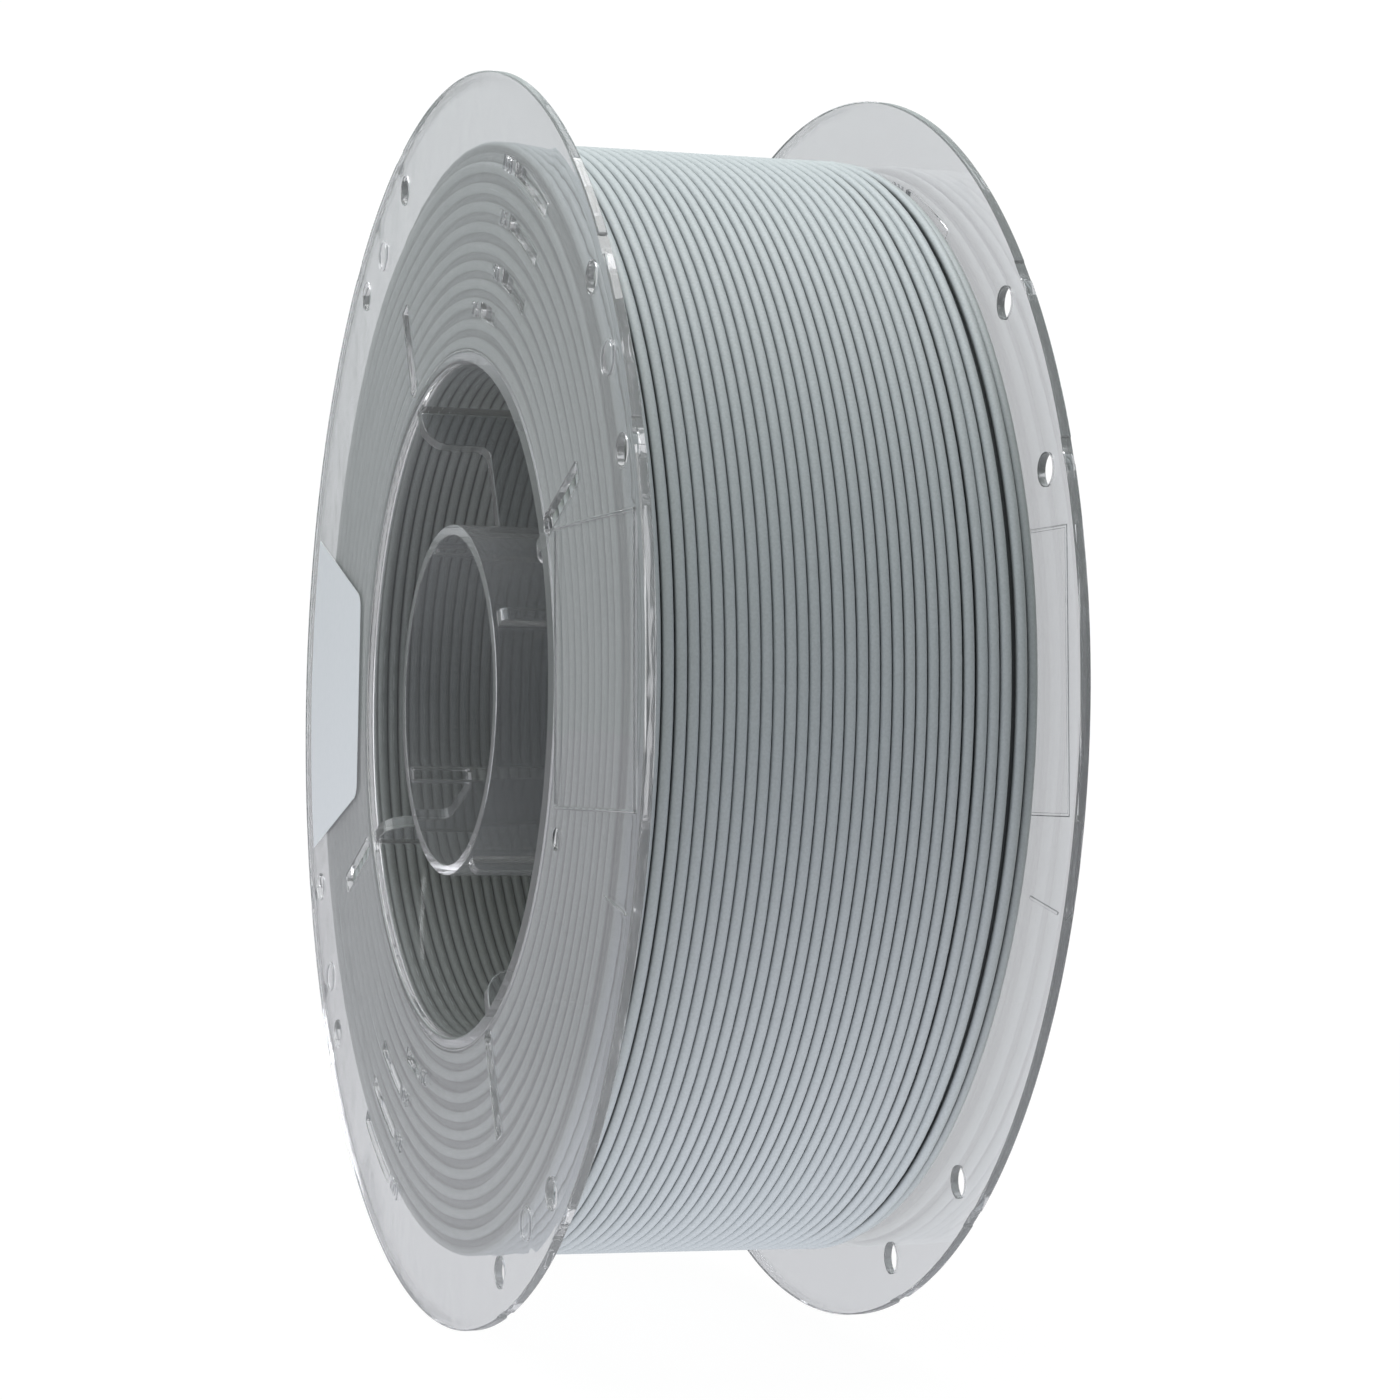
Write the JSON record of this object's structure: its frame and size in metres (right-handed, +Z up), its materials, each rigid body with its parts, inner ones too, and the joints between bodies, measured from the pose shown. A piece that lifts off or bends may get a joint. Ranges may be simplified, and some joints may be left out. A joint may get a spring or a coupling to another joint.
{
  "type": "filament spool",
  "caption": "Clear moulded filament spool with an open webbed hub, wound full of grey filament, with a blank data label on one flange.",
  "frame": {"origin": "centre of the hub bore, halfway between the two flange faces", "axes": "+Y along the spool's axis from the labelled near flange to the far flange, +Z up, +X to the right when facing the near flange; the label is at -X"},
  "size_m": [0.2, 0.066, 0.2],
  "materials": {
    "clear_plastic": "polished clear moulding",
    "filament": "satin extruded",
    "label_paper": "satin coated label stock"
  },
  "bodies": {
    "root": {"near_flange": "clear_plastic", "near_drum": "clear_plastic", "near_sleeve": "clear_plastic", "near_web_1": "clear_plastic", "near_web_2": "clear_plastic", "near_web_3": "clear_plastic", "near_web_4": "clear_plastic", "far_flange": "clear_plastic", "far_drum": "clear_plastic", "far_sleeve": "clear_plastic", "far_web_1": "clear_plastic", "far_web_2": "clear_plastic", "far_web_3": "clear_plastic", "far_web_4": "clear_plastic", "filament_core": "filament", "filament_outer_layer": "filament", "data_label": "label_paper"}
  },
  "joints": []
}
